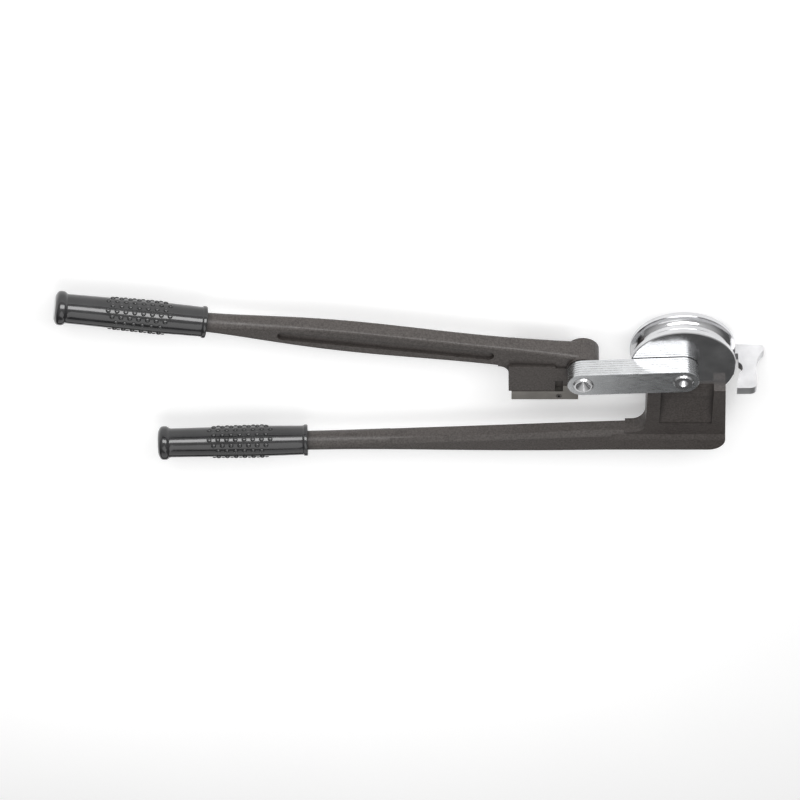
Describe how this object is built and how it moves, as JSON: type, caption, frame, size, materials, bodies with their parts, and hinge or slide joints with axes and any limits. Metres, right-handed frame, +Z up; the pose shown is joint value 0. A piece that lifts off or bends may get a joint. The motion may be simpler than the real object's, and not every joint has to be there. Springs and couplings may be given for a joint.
{
  "type": "lever type tube bender",
  "caption": "Two-handled lever tube bender with a grooved form wheel, laminated link, bend shoe on the lever, tube latch and vinyl grips.",
  "frame": {"origin": "under the middle of the whole tool's box, on the surface it lies on", "axes": "+X from the grips towards the form wheel, +Y from the fixed handle towards the lever handle, +Z up out of the front face"},
  "size_m": [0.5226, 0.1836, 0.049],
  "materials": {
    "brown_black_paint": "satin sprayed paint over a casting",
    "black_vinyl": "glossy dipped vinyl",
    "bright_plated_steel": "bright plating with turning lines",
    "zinc_steel": "satin zinc plate",
    "cast_bright_steel": "bright tumbled casting",
    "shoe_steel": "dark milled steel",
    "dark_steel": "oiled dark steel",
    "bronze": "sintered bronze"
  },
  "bodies": {
    "frame": {"fixed_handle": "brown_black_paint", "fixed_grip": "black_vinyl", "form_wheel": "bright_plated_steel", "wheel_dowels": "dark_steel", "wheel_pin": "bright_plated_steel", "latch_bracket": "zinc_steel", "latch_pin": "dark_steel", "bracket_screws": "zinc_steel"},
    "link": {"link_plate_1": "zinc_steel", "link_plate_2": "zinc_steel", "link_plate_3": "zinc_steel", "link_plate_4": "zinc_steel", "link_plate_5": "zinc_steel", "link_plate_6": "zinc_steel", "link_plate_7": "zinc_steel", "lever_pin": "bright_plated_steel"},
    "lever": {"lever_handle": "brown_black_paint", "lever_grip": "black_vinyl", "lever_bush": "bronze", "bend_shoe": "shoe_steel", "shoe_dowels": "dark_steel", "shoe_screws": "dark_steel"},
    "latch": {"tube_latch": "cast_bright_steel"}
  },
  "joints": [
    {"name": "link_swing", "type": "hinge", "parent": "frame", "child": "link", "pos_m": [0.20042, 0.02372, 0.0225], "axis": [0, 0, 1], "range_deg": [-180, 5]},
    {"name": "lever_swing", "type": "hinge", "parent": "link", "child": "lever", "pos_m": [0.12692, 0.02012, 0.0225], "axis": [0, 0, 1], "range_deg": [-90, 12]},
    {"name": "latch_swing", "type": "hinge", "parent": "frame", "child": "latch", "pos_m": [0.22742, 0.00622, 0.0045], "axis": [0, 1, 0], "range_deg": [0, 60]}
  ]
}
